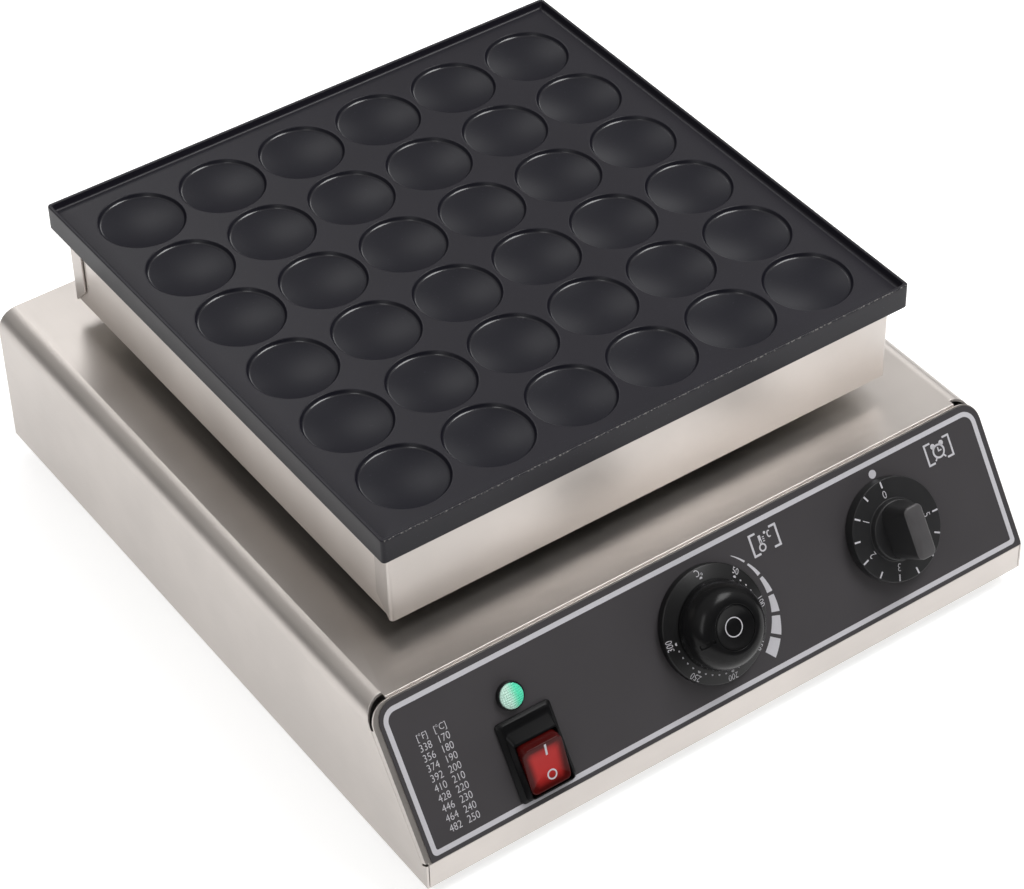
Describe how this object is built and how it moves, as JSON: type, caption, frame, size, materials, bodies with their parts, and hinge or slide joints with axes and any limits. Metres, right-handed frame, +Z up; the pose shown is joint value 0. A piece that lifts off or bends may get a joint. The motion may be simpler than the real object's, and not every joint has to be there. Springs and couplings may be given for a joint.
{
  "type": "mini pancake griddle",
  "caption": "Countertop electric griddle: a dark cast plate with round wells in a square grid, on a steel heater housing above a control base with a slanted panel.",
  "frame": {"origin": "on the surface that the feet stand on, at the middle of the whole object's width and depth", "axes": "+Z up, -Y towards the slanted control panel, +X to the right when the panel is faced"},
  "size_m": [0.3628, 0.4314, 0.1637],
  "materials": {
    "coated_casting": "cast aluminium with a dull dark grey non-stick coating",
    "brushed_steel": "satin stainless sheet",
    "zinc_steel": "plain zinc plated steel",
    "heater_steel": "heat tinted sheath of a tubular heater",
    "fibre": "white mineral fibre",
    "label_film": "dark printed film with a fine tooth",
    "black_gloss": "black thermoset with a soft shine",
    "black_matt": "black moulded plastic",
    "red_lens": "clear red plastic",
    "green_lens": "clear green plastic",
    "rubber": "black rubber",
    "white_ceramic": "plain white ceramic",
    "grey_plastic": "grey moulded plastic"
  },
  "bodies": {
    "cooker": {"griddle_plate": "coated_casting", "heater_front": "heater_steel", "heater_rear": "heater_steel", "clamp_bar_left": "zinc_steel", "clamp_bar_right": "zinc_steel", "insulation": "fibre", "housing_front": "brushed_steel", "housing_rear": "brushed_steel", "housing_left": "brushed_steel", "housing_right": "brushed_steel", "housing_floor": "zinc_steel", "wiring_sleeve": "zinc_steel", "base_shell": "brushed_steel", "front_panel": "brushed_steel", "panel_label": "label_film", "back_panel": "brushed_steel", "bottom_plate": "zinc_steel", "gland_body": "black_matt", "gland_cap": "black_matt", "gland_nut": "black_matt", "switch_body": "black_gloss", "lamp_body": "black_matt", "lamp_lens": "green_lens", "lamp_nut": "black_matt", "thermostat_body": "white_ceramic", "scale_ring": "black_gloss", "timer_body": "grey_plastic", "terminal_block": "white_ceramic", "tie_rod_front_left": "zinc_steel", "standoff_front_left": "zinc_steel", "tie_nut_front_left": "zinc_steel", "foot_front_left": "rubber", "foot_screw_front_left": "zinc_steel", "tie_rod_front_right": "zinc_steel", "standoff_front_right": "zinc_steel", "tie_nut_front_right": "zinc_steel", "foot_front_right": "rubber", "foot_screw_front_right": "zinc_steel", "tie_rod_rear_left": "zinc_steel", "standoff_rear_left": "zinc_steel", "tie_nut_rear_left": "zinc_steel", "foot_rear_left": "rubber", "foot_screw_rear_left": "zinc_steel", "tie_rod_rear_right": "zinc_steel", "standoff_rear_right": "zinc_steel", "tie_nut_rear_right": "zinc_steel", "foot_rear_right": "rubber", "foot_screw_rear_right": "zinc_steel"},
    "power_rocker": {"switch_rocker": "red_lens"},
    "thermostat_dial": {"thermostat_knob": "black_gloss", "knob_cap": "black_gloss", "thermostat_shaft": "zinc_steel"},
    "timer_dial": {"timer_knob": "black_matt", "timer_shaft": "zinc_steel"}
  },
  "joints": [
    {"name": "power_switch", "type": "hinge", "parent": "cooker", "child": "power_rocker", "pos_m": [-0.1105, -0.19875, 0.04335], "axis": [1, 0, 0], "range_deg": [-21.2, 0]},
    {"name": "thermostat_turn", "type": "hinge", "parent": "cooker", "child": "thermostat_dial", "pos_m": [-0.0011, -0.18572, 0.05907], "axis": [0, -0.8343, 0.5513], "range_deg": [-9.5, 262.5]},
    {"name": "timer_turn", "type": "hinge", "parent": "cooker", "child": "timer_dial", "pos_m": [0.1104, -0.18572, 0.05907], "axis": [0, -0.8343, 0.5513], "range_deg": [-270, 0], "stiffness_Nm_per_rad": 0.004}
  ]
}
